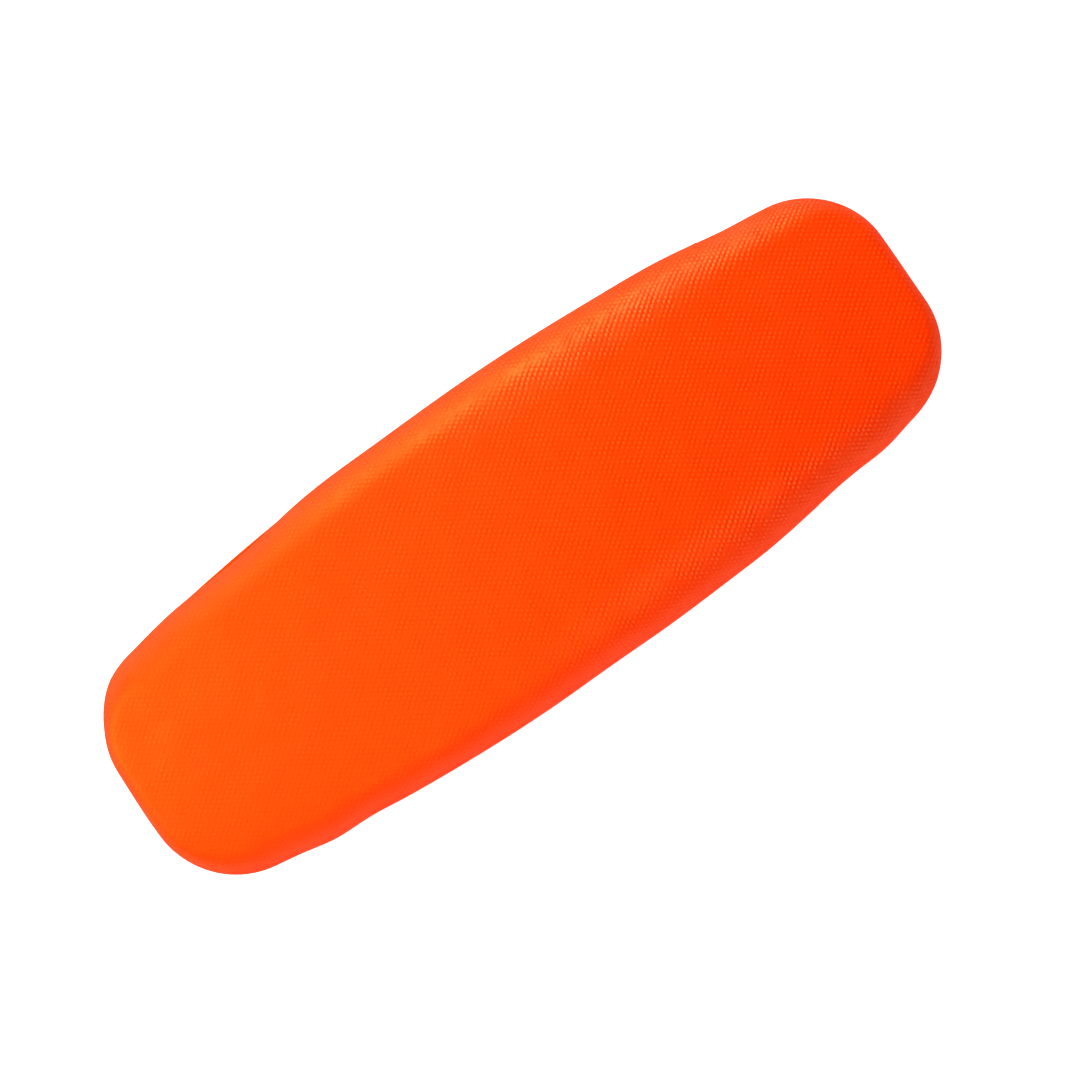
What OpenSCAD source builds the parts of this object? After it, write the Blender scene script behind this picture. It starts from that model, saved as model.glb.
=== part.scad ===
// Hard clamshell spectacle case.
// Two pressed steel half shells, padded and covered outside and lined inside, are joined at the back by a
// pin hinge with two snap springs. X runs along the case, +Y points to the hinge, and the case rests on
// z = 0.

/* [Case] */
// Length over the covered ends
case_l = 160; // [120:1:200]
// Width over the covered sides
case_w = 54.8; // [50:0.2:70]
// Height from the flat underside to the parting plane
base_h = 18.6; // [17:0.1:26]
// Height of the lid above the parting plane
lid_h = 19; // [17:0.1:26]
// Radius of each long side, seen from above
side_r = 426; // [300:1:800]
// Radius of the four corners, seen from above
corner_r = 15.5; // [9:0.5:18]
// Gap between the two closed rims
rim_gap = 0.3; // [0.1:0.05:0.6]

/* [Crown] */
// Radius of the edge between the long walls and the crown
shoulder_r = 8; // [6:0.5:8.5]
// Radius of the same edge at the two ends
end_shoulder_r = 4.2; // [4.1:0.1:6]
// Crown radius along the lid
lid_crown_r = 310; // [280:5:600]
// Crown radius along the underside of the base
base_crown_r = 420; // [350:5:700]
// Crown radius across both halves
cross_crown_r = 143; // [120:1:300]
// Depth of the flat pressed into the underside
flat_depth = 0.5; // [0.3:0.05:0.6]

/* [Layers] */
// Thickness of the woven cover
cover_t = 0.9; // [0.6:0.1:1]
// Thickness of the foam under the cover
foam_t = 1.5; // [1:0.1:1.6]
// Thickness of the pressed steel
steel_t = 0.4; // [0.3:0.05:0.5]
// Thickness of the flocked lining
lining_t = 0.9; // [0.6:0.1:1]
// Glue line between two layers
glue_t = 0.1; // [0.05:0.01:0.15]
// How far the edge of each lining sits back from the parting plane
lining_setback = 0.8; // [0.4:0.1:2]

/* [Hinge] */
// Distance from the back of the cover to the hinge axis
axis_inset = 3.2; // [3.1:0.05:3.5]
// Outer radius of the hinge knuckles
knuckle_r = 1.1; // [1:0.05:1.2]
// Thickness of the hinge leaves
leaf_t = 0.6; // [0.4:0.05:0.6]
// Length of the hinge
hinge_l = 42; // [36:1:44]
// Number of knuckles
knuckles = 5; // [3:2:7]
// Axial gap between two knuckles
knuckle_gap = 0.3; // [0.1:0.05:0.5]
// Radial running clearance of the hinge pin
pin_clearance = 0.04; // [0.02:0.01:0.08]
// Height of the slot in the back walls above and below the parting plane
slot_h = 5.8; // [5.6:0.1:6.2]
// Half of the length of that slot
slot_half_l = 53.5; // [53:0.5:56]
// Distance of the leaf's free edge from the axis
leaf_h = 8.4; // [8.2:0.1:8.5]
// Radius of the rivet heads
rivet_head_r = 1.1; // [1:0.1:1.2]
// Radius of the rivet shanks
rivet_r = 0.7; // [0.5:0.05:0.8]

/* [Snap springs] */
// Distance of each snap spring from the middle
spring_x = 9.2; // [8:0.1:10]
// Width of each snap spring
spring_w = 5; // [3:0.5:7]
// Thickness of each snap spring
spring_t = 0.3; // [0.2:0.05:0.4]
// How far each spring bows into the case
spring_bow = 2.1; // [1.5:0.1:2.4]

/* [Fineness] */
// Steps in each corner arc
corner_steps = 6; // [3:1:8]
// Steps in each half of a long side
side_steps = 5; // [3:1:8]
// Steps in the shoulder arc
shoulder_steps = 4; // [3:1:8]
// Rings in the crown
crown_steps = 3; // [2:1:6]

/* [Hidden] */
$fn = 48;

orange = [1, 0.3, 0.02];
foam_grey = [0.62, 0.62, 0.6];
steel = [0.66, 0.67, 0.69];
nickel = [0.8, 0.79, 0.76];
flock_black = [0.06, 0.06, 0.065];

half_l = case_l / 2;
half_w = case_w / 2;
base_crown_h = base_h + flat_depth;

// Depths of the layers, measured square to the outside of the cover
foam_d = cover_t + glue_t;
steel_d = foam_d + foam_t + glue_t;
lining_d = steel_d + steel_t + glue_t;
cavity_d = lining_d + lining_t;
hem_d = lining_d - glue_t / 2;
rim_z = rim_gap / 2;
core_rim_z = rim_z + cover_t + glue_t;

// Plan: the corner arcs meet the side arcs where both point the same way
side_angle = asin((half_l - corner_r) / (side_r - corner_r));
side_centre = [0, half_w - side_r];
corner_centre = [half_l - corner_r, side_centre.y + (side_r - corner_r) * cos(side_angle)];

// Hinge
axis_y = half_w - axis_inset;
leaf_front_y = axis_y - knuckle_r;
bore_r = knuckle_r - leaf_t;
pin_r = bore_r - pin_clearance;
pin_head_t = 0.4;
pin_head_r = 0.9;
knuckle_pitch = (hinge_l + knuckle_gap) / knuckles;
leaf_foot_z = knuckle_r + 0.5;
rivet_z = (slot_h + leaf_h) / 2;
rivet_xs = [-18, 0, 18];
rivet_head_t = 0.4;
rivet_clearance = 0.03;
slot_front_y = half_w - 12;
slot_steps = 16;

// Strips over the hinge
spine_clearance = 0.5;
spine_half_angle = asin((slot_half_l - spine_clearance) / side_r);
spine_cover_h = slot_h - 0.15;
lining_slot_h = leaf_h + 1;
spine_lining_overlap = [0.3, 0.5];
spine_lining_t = 0.6;
spine_lining_d = cavity_d + 0.25;
spine_lining_bulge = axis_inset + knuckle_r + spring_bow + spring_t + 0.5 - spine_lining_d;
spine_steps = [24, 8];

function unit(v) = v / norm(v);
function heading(angle) = [cos(angle), sin(angle)];
function flip(edge, sx, sy) = [for (v = edge) [v.x * sx, v.y * sy]];

// A quarter of the outline, as [point, outward direction], from the middle of an end to the middle of a side
quarter = concat(
    [[[half_l, 0], [1, 0]]],
    [for (i = [0 : corner_steps]) let (n = heading(i / corner_steps * (90 - side_angle)))
        [corner_centre + corner_r * n, n]],
    [for (i = [1 : side_steps]) let (n = heading(90 - side_angle * (1 - i / side_steps)))
        [side_centre + side_r * n, n]]
);
last = len(quarter) - 1;
outline = concat(
    quarter,
    [for (i = [last - 1 : -1 : 0]) flip(quarter[i], -1, 1)],
    [for (i = [1 : last]) flip(quarter[i], -1, -1)],
    [for (i = [last - 1 : -1 : 1]) flip(quarter[i], 1, -1)]
);
ring_n = len(outline);

// Half of the case, measured up from the parting plane: a crown over a rounded shoulder over an upright wall.
// half is [height, crown radius], and d is how far the skin lies below the outside of the cover.
function crown_z(p, half) = half[0] - p.x * p.x / (2 * half[1]) - p.y * p.y / (2 * cross_crown_r);
function crown_normal(p, half) = unit([p.x / half[1], p.y / cross_crown_r, 1]);
function edge_r(edge) = end_shoulder_r + (shoulder_r - end_shoulder_r) * edge[1].y * edge[1].y;
function arc_end(edge, half) =
    let (n = edge[1], q = edge[0] - n * edge_r(edge))
    90 - atan(q.x / half[1] * n.x + q.y / cross_crown_r * n.y);
function arc_point(edge, angle) = edge[0] - edge[1] * edge_r(edge) * (1 - cos(angle));
function wall_top(edge, half) =
    let (a = arc_end(edge, half)) crown_z(arc_point(edge, a), half) - edge_r(edge) * sin(a);

function wall_ring(d, z) = [for (e = outline) let (p = e[0] - e[1] * d) [p.x, p.y, z]];
function shoulder_ring(d, half, k) = [for (e = outline)
    let (a = arc_end(e, half) * k / shoulder_steps, p = arc_point(e, a), n = e[1])
    [p.x, p.y, wall_top(e, half) + edge_r(e) * sin(a)] - d * [n.x * cos(a), n.y * cos(a), sin(a)]];
function crown_ring(d, half, share) = [for (e = outline)
    let (p = arc_point(e, arc_end(e, half)) * share)
    [p.x, p.y, crown_z(p, half)] - d * crown_normal(p, half)];
function skin_rings(d, half, z) = concat(
    [wall_ring(d, z)],
    [for (k = [0 : shoulder_steps]) shoulder_ring(d, half, k)],
    [for (k = [crown_steps - 1 : -1 : 1]) crown_ring(d, half, k / crown_steps)]
);
function reversed(list) = [for (i = [len(list) - 1 : -1 : 0]) list[i]];

// A closed solid through a stack of rings, from a point above the first to a point below the last. The
// diagonals change over halfway, so that the inside of one layer has the same facets as the outside of the
// next.
module ring_solid(top, rings, bottom) {
    end = len(rings) - 1;
    points = concat([top], [for (ring = rings) each ring], [bottom]);
    function at(r, i) = 1 + r * ring_n + i % ring_n;
    function falling(a, b, c, d) = [[a, b, c], [b, d, c]];
    function rising(a, b, c, d) = [[a, b, d], [a, d, c]];
    polyhedron(points, concat(
        [for (i = [0 : ring_n - 1]) [0, at(0, i + 1), at(0, i)]],
        [for (r = [0 : end - 1], i = [0 : ring_n - 1]) each r < end / 2
            ? falling(at(r, i), at(r, i + 1), at(r + 1, i), at(r + 1, i + 1))
            : rising(at(r, i), at(r, i + 1), at(r + 1, i), at(r + 1, i + 1))],
        [for (i = [0 : ring_n - 1]) [at(end, i), at(end, i + 1), len(points) - 1]]
    ), convexity = 6);
}

// One layer of a half, between the depths d and d + t, open at the rim
module layer(d, t, half, z) {
    ring_solid(
        [0, 0, half[0] - d],
        concat(reversed(skin_rings(d, half, z)), skin_rings(d + t, half, z)),
        [0, 0, half[0] - d - t]
    );
}

// The cover, whose hem turns in over the edges of the foam and the steel
module cover(half) {
    inner = skin_rings(cover_t, half, rim_z + cover_t);
    ring_solid(
        [0, 0, half[0]],
        concat(
            reversed(skin_rings(0, half, rim_z)),
            [wall_ring(hem_d, rim_z), wall_ring(hem_d, rim_z + cover_t)],
            inner
        ),
        [0, 0, half[0] - cover_t]
    );
}

// The slot in a back wall that the hinge works in, above the parting plane
module hinge_slot() {
    translate([-slot_half_l, slot_front_y, -1]) cube([2 * slot_half_l, half_w, slot_h + 1]);
}

// The slot in a lining, which also clears the leaves. It is highest in the middle of the back, where u is 0,
// and u is 1 or -1 at its ends.
function lining_slot_z(u) = slot_h + (lining_slot_h - slot_h) * (1 - u * u);
module lining_slot() {
    arch = [for (i = [-slot_steps : slot_steps])
        let (u = i / slot_steps) [slot_half_l * u, lining_slot_z(u)]];
    translate([0, case_w, 0]) rotate([90, 0, 0]) linear_extrude(case_w - slot_front_y)
        polygon(concat([[-slot_half_l, -1]], arch, [[slot_half_l, -1]]));
}

module rivet_holes() {
    for (x = rivet_xs)
        translate([x, 0, rivet_z]) rotate([-90, 0, 0]) cylinder(r = rivet_r + rivet_clearance, h = half_w);
}

// Flush rivets through a leaf and the steel, their heads inside the case
module rivets() {
    for (x = rivet_xs) {
        outer_y = side_centre.y + sqrt(pow(side_r - steel_d, 2) - x * x) - steel_t / 2;
        translate([x, leaf_front_y, rivet_z]) rotate([-90, 0, 0]) {
            cylinder(r = rivet_r, h = outer_y - leaf_front_y);
            translate([0, 0, -rivet_head_t]) cylinder(r = rivet_head_r, h = rivet_head_t);
        }
    }
}

// A hinge leaf, above the parting plane, with every second knuckle from the one numbered first
module leaf(first) {
    difference() {
        union() {
            translate([-hinge_l / 2, leaf_front_y, leaf_foot_z])
                cube([hinge_l, leaf_t, leaf_h - leaf_foot_z]);
            for (k = [first : 2 : knuckles - 1])
                translate([-hinge_l / 2 + k * knuckle_pitch, 0, 0]) knuckle();
        }
        translate([-hinge_l, axis_y, 0]) rotate([0, 90, 0]) cylinder(r = bore_r, h = 2 * hinge_l);
        rivet_holes();
    }
}

module knuckle() {
    w = knuckle_pitch - knuckle_gap;
    translate([0, axis_y, 0]) rotate([0, 90, 0]) cylinder(r = knuckle_r, h = w);
    translate([0, leaf_front_y, 0]) cube([w, leaf_t, leaf_foot_z + leaf_t]);
}

// A flat spring bowed between the two leaves
module snap_spring(x) {
    end_z = rivet_z - 0.4;
    bow_r = (end_z * end_z + spring_bow * spring_bow) / (2 * spring_bow);
    end_y = leaf_front_y - 0.05;
    bow_centre_y = end_y - spring_bow + bow_r;
    translate([x - spring_w / 2, bow_centre_y, 0]) rotate([90, 0, 90]) linear_extrude(spring_w)
        intersection() {
            difference() {
                circle(r = bow_r, $fn = 96);
                circle(r = bow_r - spring_t, $fn = 96);
            }
            translate([-bow_r, -end_z]) square([spring_bow, 2 * end_z]);
        }
}

// Sweeps a profile drawn as [depth, z] along the middle of the back wall
module along_back(half_angle) {
    translate([side_centre.x, side_centre.y, 0]) rotate([0, 0, 90 - half_angle])
        rotate_extrude(angle = 2 * half_angle, $fn = 360)
            translate([side_r, 0]) mirror([1, 0]) children();
}

module to_parting_plane() {
    translate([0, 0, base_h]) children();
}

// Turns something drawn above the parting plane into its base counterpart
module as_base() {
    to_parting_plane() mirror([0, 0, 1]) children();
}

base_half = [base_crown_h, base_crown_r];
lid_half = [lid_h, lid_crown_r];

module base_cover() {
    color(orange) difference() {
        as_base() difference() {
            cover(base_half);
            hinge_slot();
        }
        translate([-case_l, -case_w, -10]) cube([2 * case_l, 2 * case_w, 10]);
    }
}

module base_foam() {
    color(foam_grey) as_base() difference() {
        layer(foam_d, foam_t, base_half, core_rim_z);
        hinge_slot();
    }
}

module base_shell() {
    color(steel) as_base() difference() {
        layer(steel_d, steel_t, base_half, core_rim_z);
        hinge_slot();
        rivet_holes();
    }
}

module base_lining() {
    color(flock_black) as_base() difference() {
        layer(lining_d, lining_t, base_half, lining_setback);
        lining_slot();
    }
}

module lid_cover() {
    color(orange) to_parting_plane() difference() {
        cover(lid_half);
        hinge_slot();
    }
}

module lid_foam() {
    color(foam_grey) to_parting_plane() difference() {
        layer(foam_d, foam_t, lid_half, core_rim_z);
        hinge_slot();
    }
}

module lid_shell() {
    color(steel) to_parting_plane() difference() {
        layer(steel_d, steel_t, lid_half, core_rim_z);
        hinge_slot();
        rivet_holes();
    }
}

module lid_lining() {
    color(flock_black) to_parting_plane() difference() {
        layer(lining_d, lining_t, lid_half, lining_setback);
        lining_slot();
    }
}

module hinge_leaf_base() {
    color(nickel) as_base() leaf(0);
}

module hinge_leaf_lid() {
    color(nickel) to_parting_plane() leaf(1);
}

module hinge_pin() {
    color(nickel) to_parting_plane() translate([0, axis_y, 0]) rotate([0, 90, 0]) {
        cylinder(r = pin_r, h = hinge_l, center = true);
        for (side = [-1, 1])
            translate([0, 0, side * (hinge_l + pin_head_t) / 2])
                cylinder(r = pin_head_r, h = pin_head_t, center = true);
    }
}

module base_rivets() {
    color(nickel) as_base() rivets();
}

module lid_rivets() {
    color(nickel) to_parting_plane() rivets();
}

module snap_spring_left() {
    color(steel) to_parting_plane() snap_spring(-spring_x);
}

module snap_spring_right() {
    color(steel) to_parting_plane() snap_spring(spring_x);
}

// Outer strip that carries the cover across the hinge
module spine_cover() {
    color(orange) to_parting_plane() along_back(spine_half_angle)
        translate([0, -spine_cover_h]) square([cover_t, 2 * spine_cover_h]);
}

// Inner strip that hides the leaves and the snap springs. It runs along the back with u and up it with v,
// both from -1 to 1.
function spine_lining_point(u, v, d) =
    let (
        h = lining_slot_z(u) + spine_lining_overlap[0] + spine_lining_overlap[1] * (1 - u * u),
        depth = spine_lining_d + spine_lining_bulge * (1 - u * u) * (1 - v * v) + d,
        p = side_centre + (side_r - depth) * heading(90 + spine_half_angle * u)
    )
    [p.x, p.y, v * h];
module spine_lining() {
    n = spine_steps[0];
    m = spine_steps[1];
    sheet = (n + 1) * (m + 1);
    points = [for (d = [0, spine_lining_t], i = [0 : n], k = [0 : m])
        spine_lining_point(2 * i / n - 1, 2 * k / m - 1, d)];
    function at(i, k) = i * (m + 1) + k;
    function side(a, b) = [[a, b, b + sheet], [a, b + sheet, a + sheet]];
    back = [for (i = [0 : n - 1], k = [0 : m - 1])
        each [[at(i, k), at(i, k + 1), at(i + 1, k + 1)], [at(i, k), at(i + 1, k + 1), at(i + 1, k)]]];
    front = [for (f = back) [f[2] + sheet, f[1] + sheet, f[0] + sheet]];
    edges = [
        for (i = [0 : n - 1]) each concat(side(at(i, 0), at(i + 1, 0)), side(at(i + 1, m), at(i, m))),
        for (k = [0 : m - 1]) each concat(side(at(0, k + 1), at(0, k)), side(at(n, k), at(n, k + 1)))
    ];
    color(flock_black) to_parting_plane() polyhedron(points, concat(back, front, edges), convexity = 4);
}

base_cover();
base_foam();
base_shell();
base_lining();
lid_cover();
lid_foam();
lid_shell();
lid_lining();
hinge_leaf_base();
hinge_leaf_lid();
hinge_pin();
base_rivets();
lid_rivets();
snap_spring_left();
snap_spring_right();
spine_cover();
spine_lining();
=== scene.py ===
"""Looks of a hard clamshell spectacle case: orange woven covers over foam and pressed steel, flocked linings,
a pin hinge with two snap springs, a plain floor, soft studio lights and a long-lens camera over the lid."""

import math

import bmesh
import bpy
import numpy as np
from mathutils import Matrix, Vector


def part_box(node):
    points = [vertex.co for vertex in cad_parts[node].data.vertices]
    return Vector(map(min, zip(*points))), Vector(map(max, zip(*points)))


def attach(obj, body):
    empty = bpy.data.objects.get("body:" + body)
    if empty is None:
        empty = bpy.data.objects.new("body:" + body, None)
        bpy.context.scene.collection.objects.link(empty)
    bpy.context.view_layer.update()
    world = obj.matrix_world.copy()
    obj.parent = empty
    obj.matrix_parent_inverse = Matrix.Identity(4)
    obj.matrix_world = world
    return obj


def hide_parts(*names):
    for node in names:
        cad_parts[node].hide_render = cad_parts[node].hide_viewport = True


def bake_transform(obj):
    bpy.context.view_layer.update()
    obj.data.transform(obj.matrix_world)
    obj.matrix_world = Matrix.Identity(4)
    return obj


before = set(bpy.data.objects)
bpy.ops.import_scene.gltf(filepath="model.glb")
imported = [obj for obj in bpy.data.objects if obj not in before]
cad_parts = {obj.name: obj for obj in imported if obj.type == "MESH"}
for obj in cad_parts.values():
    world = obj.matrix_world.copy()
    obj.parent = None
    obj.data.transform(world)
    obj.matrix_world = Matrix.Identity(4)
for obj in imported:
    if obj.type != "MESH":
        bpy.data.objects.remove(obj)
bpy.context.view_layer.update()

MM = 0.001

# Sizes that the frame gives
low = {name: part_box(name)[0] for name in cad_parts}
high = {name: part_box(name)[1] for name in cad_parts}
HALF_L = high["lid_cover"].x
HALF_W = high["lid_cover"].y
PARTING_Z = (high["base_cover"].z + low["lid_cover"].z) / 2
RIM_Z = low["lid_cover"].z - PARTING_Z
LID_H = high["lid_cover"].z - PARTING_Z
FOAM_D = HALF_L - high["lid_foam"].x
STEEL_D = HALF_L - high["lid_shell"].x
LINING_D = HALF_L - high["lid_lining"].x
CORE_RIM_Z = low["lid_foam"].z - PARTING_Z
LINING_RIM_Z = low["lid_lining"].z - PARTING_Z
SLOT_H = high["spine_cover"].z - PARTING_Z + 0.15 * MM
SPINE_HALF_L = high["spine_cover"].x
SLOT_HALF_L = SPINE_HALF_L + 0.5 * MM
LINING_STRIP_HALF_L = SLOT_HALF_L + 1 * MM  # it laps over the linings at its ends

# Sizes of the design that the frame's boxes don't give
SIDE_R = 426 * MM
CORNER_R = 15.5 * MM
SHOULDER_R = 8 * MM
END_SHOULDER_R = 4.2 * MM
END_SKIN_R = 3 * MM  # the cloth is pulled tighter over the ends than the solid that stands for it
CROSS_CROWN_R = 143 * MM
LID_CROWN_R = 310 * MM
BASE_CROWN_R = 420 * MM
FLAT_DEPTH = 0.5 * MM
COVER_T = 0.9 * MM
GLUE_T = 0.1 * MM
LINING_T = 0.9 * MM
LINING_SLOT_H = 9.4 * MM
HEM = 3 * MM

SIDE_ANGLE = math.asin((HALF_L - CORNER_R) / (SIDE_R - CORNER_R))
SIDE_CENTRE = np.array([0, HALF_W - SIDE_R])
CORNER_CENTRE = np.array([HALF_L - CORNER_R, HALF_W - SIDE_R + (SIDE_R - CORNER_R) * math.cos(SIDE_ANGLE)])
MIDDLE_LINE_HALF_L = 50 * MM  # the crown's rings close on a line of this half length
BASE_H = PARTING_Z + FLAT_DEPTH  # how deep the base would be without the flat pressed into it

# Rolled edges and small gaps
COVER_ROLL = 0.42 * MM
CUT_ROLL = 0.05 * MM
FOAM_ROLL = 0.3 * MM
LINING_ROLL = 0.25 * MM
HEM_GAP = 0.05 * MM

# Soft ripples of the covers: (place along the side, half width, height), in millimetres
BACK_RIPPLES = [(-58, 6, 0.2), (-42, 9, -0.7), (-24, 9, 0.2), (-8, 13, -0.15), (44, 8, 0.2), (58, 6, -0.3)]
FRONT_RIPPLES = [(-56, 5, 0.5), (-48, 4, -0.2), (0, 11, -0.4), (34, 9, 0.3), (50, 5, -0.15), (60, 5, 0.5)]
LEFT_RIPPLES = [(-4, 7, 0.25), (17, 9, -0.65)]
RIGHT_RIPPLES = [(6, 8, 0.15)]
LID_RIPPLE_SHARE = 1.0
BASE_RIPPLE_SHARE = 0.8

# Rows of points in each part of a skin
WALL_ROWS = 8
SHOULDER_ROWS = 12
CROWN_ROWS = 14


# ---------------------------------------------------------------- outline and skins


def headings(angles):
    return np.stack([np.cos(angles), np.sin(angles)], 1)


def outline():
    """The plan of the case as (points, outward directions), once round from the middle of the right end."""
    ends = np.linspace(0, CORNER_CENTRE[1], 7)[:-1]
    corner = headings(np.linspace(0, math.pi / 2 - SIDE_ANGLE, 22))
    slot_edges = [math.asin((SLOT_HALF_L + s * 0.01 * MM) / SIDE_R) for s in (1, -1)]
    along = np.sort(np.concatenate([np.linspace(0, SIDE_ANGLE, 60)[:-1], slot_edges]))[::-1]
    side = headings(math.pi / 2 - along)
    points = np.concatenate([
        np.stack([np.full(len(ends), HALF_L), ends], 1),
        CORNER_CENTRE + CORNER_R * corner,
        SIDE_CENTRE + SIDE_R * side,
    ])
    directions = np.concatenate([np.tile([1.0, 0.0], (len(ends), 1)), corner, side])
    quarter = np.concatenate([points, directions], 1)

    def flip(part, sx, sy):
        return part * np.array([sx, sy, sx, sy])

    ring = np.concatenate([
        quarter,
        flip(quarter[-2::-1], -1, 1),
        flip(quarter[1:], -1, -1),
        flip(quarter[-2:0:-1], 1, -1),
    ])
    return ring[:, :2], ring[:, 2:]


PLAN, OUT = outline()
RING_N = len(PLAN)
IN_SLOT = (OUT[:, 1] > 0) & (np.abs(PLAN[:, 0]) < SLOT_HALF_L)


def ripple(plan, out):
    """How far the covers stand out at each point of the outline."""
    x, y = plan.T / MM

    def sum_of(ripples, place):
        return sum(height * np.exp(-(((place - centre) / width) ** 2)) for centre, width, height in ripples)

    side = np.where(out[:, 1] > 0, sum_of(BACK_RIPPLES, x), sum_of(FRONT_RIPPLES, x))
    end = np.where(out[:, 0] > 0, sum_of(RIGHT_RIPPLES, y), sum_of(LEFT_RIPPLES, y))
    on_side = np.clip((np.abs(out[:, 1]) - 0.5) / 0.4, 0, 1)
    on_end = np.clip((np.abs(out[:, 0]) - 0.5) / 0.4, 0, 1)
    return (side * on_side + end * on_end) * MM


RIPPLE = ripple(PLAN, OUT)


class Half:
    """One half of the case, measured up from the parting plane, with sign -1 for the base."""

    def __init__(self, name, height, crown_r, sign, ripple_share, end_r=END_SHOULDER_R):
        self.name = name
        self.height = height
        self.crown_r = crown_r
        self.sign = sign
        self.ripple = RIPPLE * ripple_share
        self.edge_r = end_r + (SHOULDER_R - end_r) * OUT[:, 1] ** 2
        inner = PLAN - OUT * self.edge_r[:, None]
        slope = inner[:, 0] / crown_r * OUT[:, 0] + inner[:, 1] / CROSS_CROWN_R * OUT[:, 1]
        self.arc_end = math.pi / 2 - np.arctan(slope)
        self.crown_edge = self.arc_plan(self.arc_end)
        self.wall_top = self.crown_z(self.crown_edge) - self.edge_r * np.sin(self.arc_end)

    def arc_plan(self, angle):
        return PLAN - OUT * (self.edge_r * (1 - np.cos(angle)))[:, None]

    def crown_z(self, p):
        return self.height - p[:, 0] ** 2 / (2 * self.crown_r) - p[:, 1] ** 2 / (2 * CROSS_CROWN_R)

    def wall_row(self, z, depth, swell=0.0):
        """A row of points round the wall, and where each lies on the cloth when it is flat."""
        heights = z * np.ones(RING_N)
        reach = self.edge_r * self.arc_end + self.wall_top - heights + depth
        cloth = self.crown_edge + OUT * reach[:, None]
        plan = PLAN + OUT * (self.ripple * swell - depth)[:, None]
        return np.concatenate([plan, heights[:, None]], 1), cloth

    def shoulder_row(self, share, depth, swell=0.0):
        """share is 0 at the wall and 1 at the crown, where the cloth is taut and the ripples are gone."""
        angle = self.arc_end * share
        normal = np.concatenate([OUT * np.cos(angle)[:, None], np.sin(angle)[:, None]], 1)
        z = self.wall_top + self.edge_r * np.sin(angle)
        cloth = self.crown_edge + OUT * (self.edge_r * (self.arc_end - angle))[:, None]
        weave_valley_shade = self.ripple * swell * math.cos(share * math.pi / 2) ** 2
        points = np.concatenate([self.arc_plan(angle), z[:, None]], 1)
        return points + normal * (weave_valley_shade - depth)[:, None], cloth

    def crown_row(self, share, depth):
        """share is 1 at the shoulder and 0 on the middle line, where the two sides of the ring meet."""
        corner_x = HALF_L - CORNER_R
        line_x = MIDDLE_LINE_HALF_L * np.clip(self.crown_edge[:, 0] / corner_x, -1, 1)
        line = np.stack([line_x, np.zeros(RING_N)], 1)
        plan = self.crown_edge * share + line * (1 - share)
        slope = np.stack([plan[:, 0] / self.crown_r, plan[:, 1] / CROSS_CROWN_R, np.ones(RING_N)], 1)
        normal = slope / np.linalg.norm(slope, axis=1)[:, None]
        return np.concatenate([plan, self.crown_z(plan)[:, None]], 1) - normal * depth, plan

    def skin(self, depth, rim, swell=0.0):
        """Rows at one depth, from the rim to the middle line."""
        walls = [
            self.wall_row(rim + (self.wall_top - rim) * k / WALL_ROWS, depth, swell)
            for k in range(WALL_ROWS)
        ]
        shoulders = [self.shoulder_row(k / SHOULDER_ROWS, depth, swell) for k in range(SHOULDER_ROWS + 1)]
        crowns = [self.crown_row(1 - k / CROWN_ROWS, depth) for k in range(1, CROWN_ROWS + 1)]
        return walls + shoulders + crowns

    def blank(self, rim, depth=0.0):
        """Length and width, and area, of the flat cloth for a layer at that depth that reaches to the rim."""
        edge = self.wall_row(rim, 0)[1] - OUT * (depth * self.arc_end)[:, None]
        after = np.roll(edge, -1, axis=0)
        area = np.sum(edge[:, 0] * after[:, 1] - edge[:, 1] * after[:, 0]) / 2
        size = edge.max(axis=0) - edge.min(axis=0)
        return (float(size[0]), float(size[1])), float(area)


LID = Half("lid", LID_H, LID_CROWN_R, 1, LID_RIPPLE_SHARE)
LID_SKIN = Half("lid", LID_H, LID_CROWN_R, 1, LID_RIPPLE_SHARE, END_SKIN_R)
BASE = Half("base", BASE_H, BASE_CROWN_R, -1, BASE_RIPPLE_SHARE)
BASE_SKIN = Half("base", BASE_H, BASE_CROWN_R, -1, BASE_RIPPLE_SHARE, END_SKIN_R)


# ---------------------------------------------------------------- meshes


def finish_mesh(name, verts, faces, cloth, weld=0.0):
    """A smooth-shaded object whose points know, in millimetres, where they lie on the flat cloth."""
    mesh = bpy.data.meshes.new(name)
    mesh.from_pydata(verts.tolist(), [], faces)
    flat = np.concatenate([cloth / MM, np.zeros((len(cloth), 1))], 1)
    attribute = mesh.attributes.new("cloth", "FLOAT_VECTOR", "POINT")
    attribute.data.foreach_set("vector", flat.astype(np.float32).ravel())
    bm = bmesh.new()
    bm.from_mesh(mesh)
    if weld:
        bmesh.ops.remove_doubles(bm, verts=bm.verts, dist=weld)
    bmesh.ops.recalc_face_normals(bm, faces=bm.faces)
    bm.to_mesh(mesh)
    bm.free()
    mesh.shade_smooth()
    obj = bpy.data.objects.new(name, mesh)
    bpy.context.scene.collection.objects.link(obj)
    return obj


def ring_object(name, half, rows):
    """A closed shell through rows of the ring, which starts and ends on the crown's middle line."""
    points = np.concatenate([p for p, _ in rows])
    cloth = np.concatenate([c for _, c in rows])
    points[:, 2] *= half.sign
    points[:, 2] += PARTING_Z
    if half.sign < 0:
        points[:, 2] = np.maximum(points[:, 2], 0)
    i = np.arange(RING_N)
    j = (i + 1) % RING_N
    faces = []
    for r in range(len(rows) - 1):
        a, b = r * RING_N, (r + 1) * RING_N
        faces += np.stack([a + i, a + j, b + j, b + i], 1).tolist()
    return finish_mesh(name, points, faces, cloth, weld=0.002 * MM)


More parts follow.
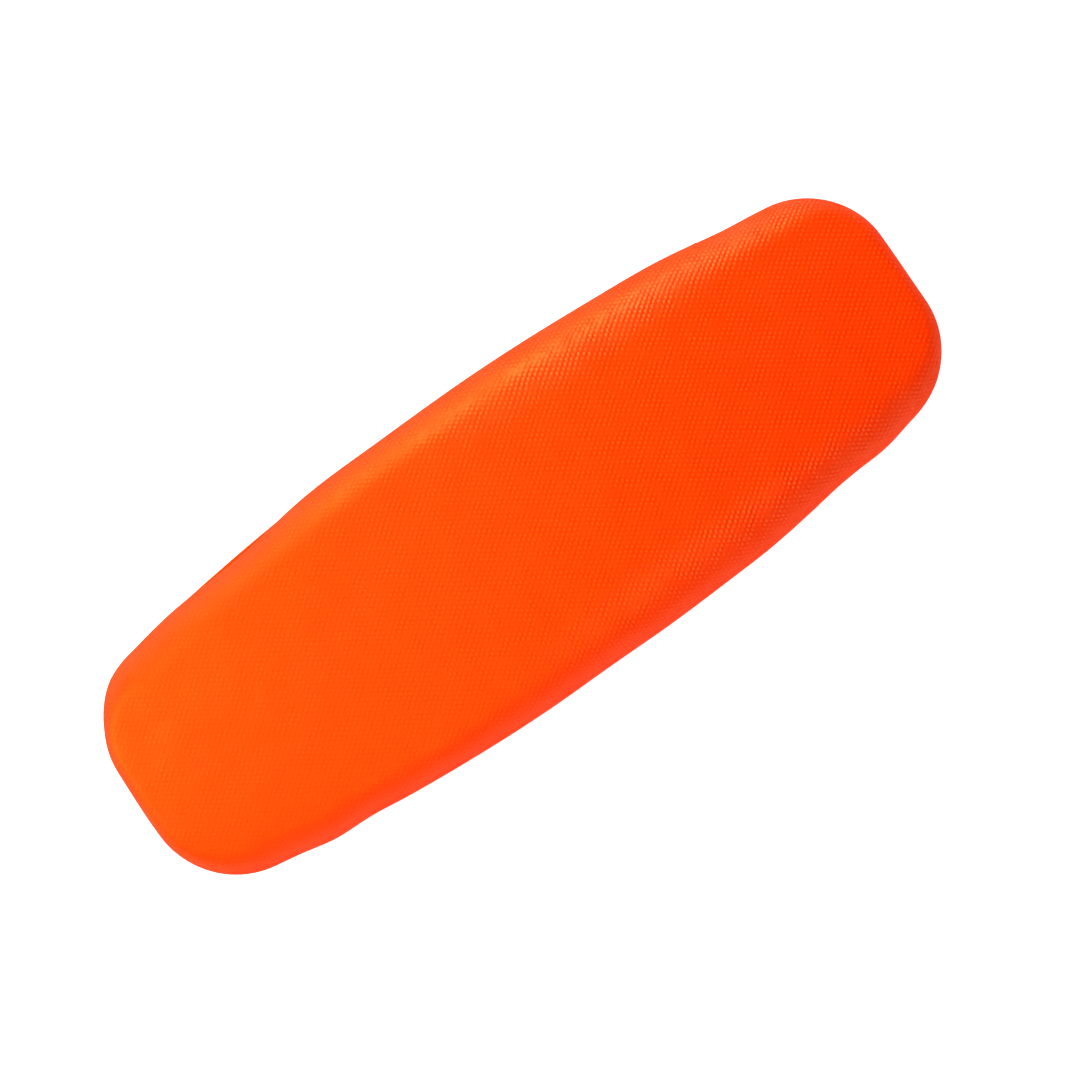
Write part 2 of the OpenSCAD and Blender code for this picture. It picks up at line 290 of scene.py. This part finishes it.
def cover_object(name, half, skin):
    """The woven cover: outer skin, rolled edge, hem turned in over the foam and steel, and its own back."""
    rim = np.where(IN_SLOT, SLOT_H, RIM_Z)
    roll = np.where(IN_SLOT, CUT_ROLL, COVER_ROLL)
    hem_d = LINING_D - HEM_GAP
    outer = skin.skin(0, rim + roll, swell=1.0)
    rolled = [
        skin.wall_row(rim + roll * (1 - math.sin(a)), roll * (1 - math.cos(a)), swell=1 - a / math.pi * 2)
        for a in np.linspace(0, math.pi / 2, 6)[1:]
    ]
    inner_roll = roll * 0.6
    turned = [
        half.wall_row(rim + inner_roll * (1 - math.cos(a)), hem_d - inner_roll * (1 - math.sin(a)))
        for a in np.linspace(0, math.pi / 2, 5)
    ]
    back = [half.wall_row(rim + COVER_T, hem_d), half.wall_row(rim + COVER_T, COVER_T)]
    inner = half.skin(COVER_T, rim + COVER_T + 0.01 * MM)
    return ring_object(name, half, outer[::-1] + rolled + turned + back + inner)


def layer_object(name, half, depth, thickness, rim, roll):
    """A plain layer between two depths, its rim rounded."""
    outer = half.skin(depth, rim + roll)
    edge = [
        half.wall_row(rim + roll * (1 - math.sin(a)), depth + thickness / 2 - thickness / 2 * math.cos(a))
        for a in np.linspace(0, math.pi, 9)[1:-1]
    ]
    inner = half.skin(depth + thickness, rim + roll)
    return ring_object(name, half, outer[::-1] + edge + inner)


def sheet_object(name, front, back, cloth):
    """A closed sheet between two grids of points of the same shape."""
    n, m = front.shape[:2]
    points = np.concatenate([front.reshape(-1, 3), back.reshape(-1, 3)])
    index = np.arange(n * m).reshape(n, m)
    other = index + n * m
    quads = [
        (index[:-1, :-1], index[1:, :-1], index[1:, 1:], index[:-1, 1:]),
        (other[:-1, :-1], other[:-1, 1:], other[1:, 1:], other[1:, :-1]),
    ]
    border = np.concatenate([index[:-1, 0], index[-1, :-1], index[:0:-1, -1], index[0, :0:-1]])
    after = np.roll(border, -1)
    faces = [f for q in quads for f in np.stack([c.ravel() for c in q], 1).tolist()]
    faces += np.stack([after, border, border + n * m, after + n * m], 1).tolist()
    flat = np.concatenate([cloth.reshape(-1, 2), cloth.reshape(-1, 2)])
    return finish_mesh(name, points, faces, flat)


def back_wall_points(x, z, depth):
    """Points on the back wall at x, height above the parting plane and depth, all grids of one shape."""
    angle = np.arcsin(x / SIDE_R)
    radius = SIDE_R - depth
    return np.stack([radius * np.sin(angle), SIDE_CENTRE[1] + radius * np.cos(angle), z + PARTING_Z], -1)


def spine_cover_object():
    """The outer strip over the hinge, level with the covers, with a shallow crease along the hinge line."""
    half_l = SPINE_HALF_L + 0.45 * MM
    half_h = SLOT_H - 0.02 * MM
    x = np.linspace(-half_l, half_l, 121)
    z = np.linspace(-half_h, half_h, 41)
    x_grid, z_grid = np.meshgrid(x, z, indexing="ij")
    rises = np.interp(x, np.sort(PLAN[IN_SLOT, 0]), RIPPLE[IN_SLOT][np.argsort(PLAN[IN_SLOT, 0])])
    share = 0.9 + 0.1 * z_grid / SLOT_H
    crease = 0.35 * MM * np.exp(-((z_grid / (0.9 * MM)) ** 2))
    depth = crease - rises[:, None] * share
    wall_reach = SHOULDER_R * math.pi / 2 + LID.wall_top.max() - z_grid
    cloth = np.stack([x_grid, HALF_W - SHOULDER_R + wall_reach], -1)
    front = back_wall_points(x_grid, z_grid, depth)
    back = back_wall_points(x_grid, z_grid, np.maximum(depth, 0) * 0.4 + COVER_T)
    return sheet_object("spine_cloth", front, back, cloth)


def lining_slot_z(u):
    """Height of the linings' cut-out, at u from -1 to 1 along the slot."""
    return SLOT_H + (LINING_SLOT_H - SLOT_H) * (1 - u * u)


def lining_strip_reach(u):
    """How far the inner strip reaches up and down, past the cut-out and onto the linings."""
    return lining_slot_z(u) + (0.3 + 0.5 * (1 - u * u)) * MM


def spine_lining_object():
    """The inner strip, which bulges over the springs and lies on both linings along its edges."""
    lining_in = LINING_D + LINING_T
    rest_d = lining_in + 0.12 * MM
    bulge = HALF_W - low["spine_lining"].y - 0.6 * MM - rest_d
    u = np.linspace(-1, 1, 97)
    v = np.linspace(-1, 1, 33)
    u_grid, v_grid = np.meshgrid(u, v, indexing="ij")
    reach = lining_strip_reach(u_grid)
    swell = (1 - np.abs(u_grid) ** 2.4) * (1 - v_grid**2)
    depth = rest_d + bulge * swell
    thickness = 0.6 * MM * np.minimum(1, 0.25 + 3 * (1 - np.maximum(np.abs(u_grid), np.abs(v_grid))))
    x_grid = u_grid * LINING_STRIP_HALF_L
    cloth = np.stack([x_grid, v_grid * reach], -1)
    front = back_wall_points(x_grid, v_grid * reach, depth)
    back = back_wall_points(x_grid, v_grid * reach, depth + thickness)
    return sheet_object("spine_flock", front, back, cloth)


def half_height(node):
    return (high[node].z - low[node].z) / 2


def spring_object(name, node):
    """A bowed flat spring with its two ends tucked against the leaves."""
    lo, hi = low[node], high[node]
    half_h = half_height(node)
    bow = hi.y - lo.y
    radius = (half_h**2 + bow**2) / (2 * bow)
    thickness = 0.3 * MM
    sweep = math.asin(half_h / radius)
    angle = np.linspace(-sweep, sweep, 33)
    across = np.linspace(-1, 1, 9)
    a_grid, w_grid = np.meshgrid(angle, across, indexing="ij")
    width = (hi.x - lo.x) / 2 * (1 - 0.18 * (np.abs(a_grid) / sweep) ** 6)
    camber = 0.05 * MM * (1 - np.abs(w_grid) ** 8)
    x = (lo.x + hi.x) / 2 + w_grid * width

    def layer(r):
        return np.stack([x, lo.y + radius - r * np.cos(a_grid), PARTING_Z + r * np.sin(a_grid)], -1)

    front = layer(radius - thickness / 2 + camber)
    back = layer(radius - thickness / 2 - camber - thickness / 3)
    return sheet_object(name, front, back, np.stack([x, a_grid * radius], -1))


# ---------------------------------------------------------------- materials


class Nodes:
    """Short calls for building a procedural material."""

    def __init__(self, name):
        self.material = bpy.data.materials.new(name)
        self.material.use_nodes = True
        self.tree = self.material.node_tree
        self.shader = self.tree.nodes["Principled BSDF"]

    def add(self, kind, **values):
        node = self.tree.nodes.new(kind)
        for key, value in values.items():
            setattr(node, key, value)
        return node

    def plug(self, value, socket):
        if isinstance(value, bpy.types.NodeSocket):
            self.tree.links.new(value, socket)
        else:
            socket.default_value = value

    def math(self, operation, a, b=0.0):
        node = self.add("ShaderNodeMath", operation=operation)
        self.plug(a, node.inputs[0])
        self.plug(b, node.inputs[1])
        return node.outputs[0]

    def cloth(self):
        return self.add("ShaderNodeAttribute", attribute_name="cloth").outputs["Vector"]

    def place(self):
        """The object's own coordinates, in millimetres."""
        scale = self.add("ShaderNodeVectorMath", operation="SCALE")
        self.plug(self.add("ShaderNodeTexCoord").outputs["Object"], scale.inputs[0])
        scale.inputs["Scale"].default_value = 1 / MM
        return scale.outputs[0]

    def noise(self, vector, period, detail=2.0, roughness=0.5):
        node = self.add("ShaderNodeTexNoise")
        self.plug(vector, node.inputs["Vector"])
        node.inputs["Scale"].default_value = 1 / period
        node.inputs["Detail"].default_value = detail
        node.inputs["Roughness"].default_value = roughness
        return node

    def ramp(self, value, low, high, low_to, high_to):
        node = self.add("ShaderNodeMapRange", interpolation_type="SMOOTHSTEP")
        for socket, number in zip(("From Min", "From Max", "To Min", "To Max"), (low, high, low_to, high_to)):
            node.inputs[socket].default_value = number
        self.plug(value, node.inputs["Value"])
        return node.outputs["Result"]

    def mix(self, factor, first, second):
        node = self.add("ShaderNodeMix", data_type="RGBA")
        self.plug(factor, node.inputs["Factor"])
        node.inputs[6].default_value = (*first, 1)
        node.inputs[7].default_value = (*second, 1)
        return node.outputs[2]

    def bump(self, height, distance, strength=1.0, normal=None):
        node = self.add("ShaderNodeBump")
        node.inputs["Distance"].default_value = distance
        node.inputs["Strength"].default_value = strength
        self.plug(height, node.inputs["Height"])
        if normal is not None:
            self.plug(normal, node.inputs["Normal"])
        return node.outputs["Normal"]

    def set(self, **values):
        for key, value in values.items():
            self.plug(value, self.shader.inputs[key.replace("_", " ")])


def wave_vector(period, degrees):
    """Waves per millimetre of a wave with that period, whose crests run square to that direction."""
    return Vector((math.cos(math.radians(degrees)), math.sin(math.radians(degrees)), 0)) / period


# The basket weave: two diagonal sets of rows, and the set that they make between them
WEFT = wave_vector(0.85, 126.9)
WARP = wave_vector(0.80, 56.2)
WEAVE = [(WARP, 0.45), (WEFT, 0.55), (WARP - WEFT, 0.27)]


def orange_cover():
    """Fluorescent orange coated cloth: fine raised weave with its valleys painted darker as shade, soft
    uneven sheen, and a painted highlight on the shoulders.
    """
    n = Nodes("orange_cover")
    flat = n.cloth()
    wander = n.add("ShaderNodeVectorMath", operation="MULTIPLY_ADD")
    n.plug(n.noise(flat, 5).outputs["Color"], wander.inputs[0])
    wander.inputs[1].default_value = (0.5, 0.5, 0)
    n.plug(flat, wander.inputs[2])
    height = 0.0
    for vector, weight in WEAVE:
        dot = n.add("ShaderNodeVectorMath", operation="DOT_PRODUCT")
        n.plug(wander.outputs[0], dot.inputs[0])
        dot.inputs[1].default_value = vector * 2 * math.pi
        height = n.math("ADD", n.math("MULTIPLY", n.math("COSINE", dot.outputs["Value"]), weight), height)
    patchy = n.ramp(n.noise(flat, 2.2, detail=2).outputs["Fac"], 0.3, 0.7, 0.3, 1.7)
    where = n.add("ShaderNodeSeparateXYZ")
    n.plug(flat, where.inputs[0])
    # Painted highlight: on the flat cloth, the shoulders towards +X get a stronger, whiter specular and a
    # deeper weave, where the key light's highlight falls
    aside = n.math("ABSOLUTE", where.outputs["Y"])
    shoulder = n.math("MULTIPLY", n.ramp(aside, 14, 20, 0.0, 1.0), n.ramp(aside, 21.5, 25.5, 1.0, 0.2))
    shoulder_highlight = n.math("MULTIPLY", shoulder, n.ramp(where.outputs["X"], -30, 45, 0.0, 1.0))
    # The weave stands out more towards +X and in random patches, and more again in the painted highlight on
    # the shoulders
    patchy_weave_and_highlight = n.math("MULTIPLY", patchy, n.ramp(where.outputs["X"], -75, 50, 0.4, 1.15))
    patchy_weave_and_highlight = n.math("MULTIPLY", patchy_weave_and_highlight, n.ramp(shoulder_highlight, 0, 1, 1.0, 1.7))
    fibre = n.noise(flat, 0.35, detail=3).outputs["Fac"]
    height = n.math("ADD", n.math("MULTIPLY", height, patchy_weave_and_highlight), n.math("MULTIPLY", fibre, 1.8))
    mottle = n.noise(flat, 7, detail=3).outputs["Fac"]
    # Painted shade: the weave's valleys are a darker orange than its crests
    weave_valley_shade = n.ramp(height, -1.0, 2.8, 0.0, 1.0)
    normal = n.bump(n.noise(flat, 11, detail=1).outputs["Fac"], 0.35 * MM)
    n.set(
        Base_Color=n.mix(weave_valley_shade, (0.9, 0.026, 0.0004), (1.0, 0.084, 0.0014)),
        Roughness=n.ramp(mottle, 0.3, 0.7, 0.4, 0.5),
        Normal=n.bump(height, 0.028 * MM, normal=normal),
        # Painted highlight: a stronger and whiter specular on the shoulders towards +X
        Specular_IOR_Level=n.ramp(shoulder_highlight, 0, 1, 0.5, 1.0),
        Specular_Tint=n.mix(shoulder_highlight, (1.0, 0.9, 0.06), (1.0, 0.9, 0.2)),
    )
    # The whole cloth glows faintly: partly fluorescence, partly painted light that keeps its shaded sides
    # from going dark
    n.shader.inputs["Emission Color"].default_value = (1.0, 0.012, 0.0, 1)
    n.shader.inputs["Emission Strength"].default_value = 0.45
    return n.material


def flocked_lining():
    """Charcoal flock: a dense nap of tiny fibres, brushed unevenly, with a velvet sheen."""
    n = Nodes("flocked_lining")
    place = n.place()
    nap = n.noise(place, 0.22, detail=4, roughness=0.7).outputs["Fac"]
    brushed = n.noise(place, 9, detail=3).outputs["Fac"]
    n.set(
        Base_Color=n.mix(n.ramp(brushed, 0.35, 0.65, 0.0, 1.0), (0.011, 0.011, 0.012), (0.024, 0.024, 0.026)),
        Roughness=n.ramp(nap, 0.3, 0.7, 0.82, 1.0),
        Normal=n.bump(nap, 0.09 * MM, normal=n.bump(brushed, 0.12 * MM)),
    )
    n.shader.inputs["Sheen Weight"].default_value = 0.35
    n.shader.inputs["Sheen Roughness"].default_value = 0.4
    n.shader.inputs["Specular IOR Level"].default_value = 0.2
    return n.material


def padding_foam():
    """Open-cell foam: pale grey, with small round pores, and painted shade darkening the pores."""
    n = Nodes("padding_foam")
    cells = n.add("ShaderNodeTexVoronoi")
    n.plug(n.place(), cells.inputs["Vector"])
    cells.inputs["Scale"].default_value = 1 / 0.5
    pore_and_shade = n.ramp(cells.outputs["Distance"], 0.15, 0.6, 0.0, 1.0)
    # Painted shade: the pores are a darker grey than the foam around them
    n.set(Base_Color=n.mix(pore_and_shade, (0.22, 0.22, 0.21), (0.6, 0.6, 0.57)), Roughness=n.ramp(pore_and_shade, 0, 1, 1, 0.85))
    n.set(Normal=n.bump(pore_and_shade, 0.15 * MM))
    return n.material


def metal(name, dark, light, rough, grain_period, scratch):
    """Metal with a fine directional grain and faint cloudy wear."""
    n = Nodes(name)
    stretch = n.add("ShaderNodeVectorMath", operation="MULTIPLY")
    n.plug(n.place(), stretch.inputs[0])
    stretch.inputs[1].default_value = (0.12, 1, 1)
    grain = n.noise(stretch.outputs[0], grain_period, detail=3, roughness=0.6).outputs["Fac"]
    cloud = n.noise(n.place(), 4, detail=2).outputs["Fac"]
    n.set(
        Base_Color=n.mix(n.ramp(cloud, 0.3, 0.7, 0.0, 1.0), dark, light),
        Roughness=n.ramp(grain, 0.3, 0.7, rough[0], rough[1]),
        Normal=n.bump(grain, scratch),
    )
    n.shader.inputs["Metallic"].default_value = 1.0
    return n.material


def floor_material():
    """White diffusing acrylic, lit softly from below."""
    n = Nodes("floor_acrylic")
    speck = n.noise(n.place(), 3, detail=3).outputs["Fac"]
    n.set(Base_Color=n.mix(speck, (0.86, 0.86, 0.86), (0.9, 0.9, 0.9)), Roughness=0.9)
    n.shader.inputs["Emission Color"].default_value = (1, 1, 1, 1)
    n.shader.inputs["Emission Strength"].default_value = 1.0
    return n.material


MATERIALS = {
    "orange_cover": orange_cover(),
    "flocked_lining": flocked_lining(),
    "padding_foam": padding_foam(),
    "pressed_steel": metal(
        "pressed_steel", (0.42, 0.43, 0.45), (0.56, 0.57, 0.59), (0.28, 0.42), 0.3, 0.004 * MM
    ),
    "hinge_nickel": metal("hinge_nickel", (0.6, 0.58, 0.54), (0.72, 0.7, 0.66), (0.16, 0.3), 0.2, 0.003 * MM),
    "spring_steel": metal(
        "spring_steel", (0.16, 0.18, 0.24), (0.3, 0.31, 0.36), (0.22, 0.34), 0.15, 0.003 * MM
    ),
}


def dress(obj, slot):
    obj.data.materials.clear()
    obj.data.materials.append(MATERIALS[slot])
    return obj


# ---------------------------------------------------------------- the pieces


def build_half(half, skin):
    body = half.name
    cloth = dress(cover_object(f"{body}_cloth", half, skin), "orange_cover")
    foam_t = STEEL_D - GLUE_T - FOAM_D
    slot_rim = np.where(IN_SLOT, SLOT_H, CORE_RIM_Z)
    foam = layer_object(f"{body}_padding", half, FOAM_D, foam_t, slot_rim, FOAM_ROLL)
    dress(foam, "padding_foam")
    u = np.clip(PLAN[:, 0] / SLOT_HALF_L, -1, 1)
    lining_rim = np.where(IN_SLOT, lining_slot_z(u), LINING_RIM_Z)
    flock = layer_object(f"{body}_flock", half, LINING_D, LINING_T, lining_rim, LINING_ROLL)
    dress(flock, "flocked_lining")
    for obj, node in ((cloth, "cover"), (foam, "foam"), (flock, "lining")):
        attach(obj, body)
        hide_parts(f"{body}_{node}")
    size, area = half.blank(RIM_Z - HEM)
    size, area = half.blank(LINING_RIM_Z, LINING_D)


def bend_over_hinge(obj, node, slot):
    """Give a piece its material, bake its placement into its points, and hide the CAD node that it stands
    for.
    """
    dress(obj, slot)
    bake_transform(obj)
    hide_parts(node)


def build_hinge_cloths():
    outer = spine_cover_object()
    bend_over_hinge(outer, "spine_cover", "orange_cover")
    inner = spine_lining_object()
    bend_over_hinge(inner, "spine_lining", "flocked_lining")
    for side in ("left", "right"):
        node = f"snap_spring_{side}"
        spring = spring_object(f"bow_spring_{side}", node)
        bend_over_hinge(spring, node, "spring_steel")


def dress_frame():
    """Materials for the CAD nodes that stay."""
    for node in ("base_shell", "lid_shell"):
        dress(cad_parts[node], "pressed_steel")
    for node in ("hinge_leaf_base", "hinge_leaf_lid", "hinge_pin", "base_rivets", "lid_rivets"):
        dress(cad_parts[node], "hinge_nickel")


# ---------------------------------------------------------------- floor, lights, camera

CAMERA_AZIMUTH = math.radians(-35.1)
CAMERA_ELEVATION = math.radians(88)
VIEW_WIDTH = 186.2 * MM  # width of the view at the height of the parting plane
OFF_CENTRE = Vector((-3.17 * MM, 0.57 * MM))  # where the case sits in the view, to the right and up
LENS = 200


def build_floor():
    """A luminous white floor that reflections don't show."""
    size = 1.2
    mesh = bpy.data.meshes.new("floor")
    corners = [(-size, -size, 0), (size, -size, 0), (size, size, 0), (-size, size, 0)]
    mesh.from_pydata(corners, [], [(0, 1, 2, 3)])
    floor = bpy.data.objects.new("floor", mesh)
    bpy.context.scene.collection.objects.link(floor)
    floor.location.z = -0.2 * MM
    floor.visible_glossy = False
    mesh.materials.append(floor_material())


def build_camera():
    back = Vector((
        math.sin(CAMERA_AZIMUTH) * math.cos(CAMERA_ELEVATION),
        -math.cos(CAMERA_AZIMUTH) * math.cos(CAMERA_ELEVATION),
        math.sin(CAMERA_ELEVATION),
    ))
    data = bpy.data.cameras.new("camera")
    data.lens = LENS
    data.clip_start = 0.01
    data.clip_end = 20
    camera = bpy.data.objects.new("camera", data)
    bpy.context.scene.collection.objects.link(camera)
    turn = (-back).to_track_quat("-Z", "Y")
    right = turn @ Vector((1, 0, 0))
    up = turn @ Vector((0, 1, 0))
    target = Vector((0, 0, PARTING_Z)) - right * OFF_CENTRE.x - up * OFF_CENTRE.y
    camera.rotation_mode = "QUATERNION"
    camera.rotation_quaternion = turn
    camera.location = target + back * (VIEW_WIDTH * LENS / data.sensor_width)
    bpy.context.scene.camera = camera


def area_light(name, direction, distance, size, watts):
    """A soft square light that faces the case from that direction."""
    data = bpy.data.lights.new(name, "AREA")
    data.shape = "SQUARE"
    data.size = size
    data.energy = watts
    light = bpy.data.objects.new(name, data)
    bpy.context.scene.collection.objects.link(light)
    toward = Vector(direction).normalized()
    light.location = toward * distance
    light.rotation_mode = "QUATERNION"
    light.rotation_quaternion = (-toward).to_track_quat("-Z", "Y")


def build_lights():
    area_light("key", (0.05, 0.9, 0.5), 0.7, 0.4, 3.3)
    area_light("end", (-0.75, 0.3, 0.58), 0.9, 0.5, 4.8)
    area_light("fill", (-0.3, -0.6, 0.74), 0.7, 0.3, 0.85)
    area_light("top", (-0.2, 0, 1), 0.8, 0.5, 0.8)
    world = bpy.data.worlds.new("studio")
    world.use_nodes = True
    background = world.node_tree.nodes["Background"]
    background.inputs["Color"].default_value = (1, 1, 1, 1)
    background.inputs["Strength"].default_value = 0.05
    world.cycles_visibility.glossy = False
    bpy.context.scene.world = world
    bpy.context.scene.view_settings.view_transform = "Standard"


build_half(BASE, BASE_SKIN)
build_half(LID, LID_SKIN)
build_hinge_cloths()
dress_frame()
build_floor()
build_camera()
build_lights()
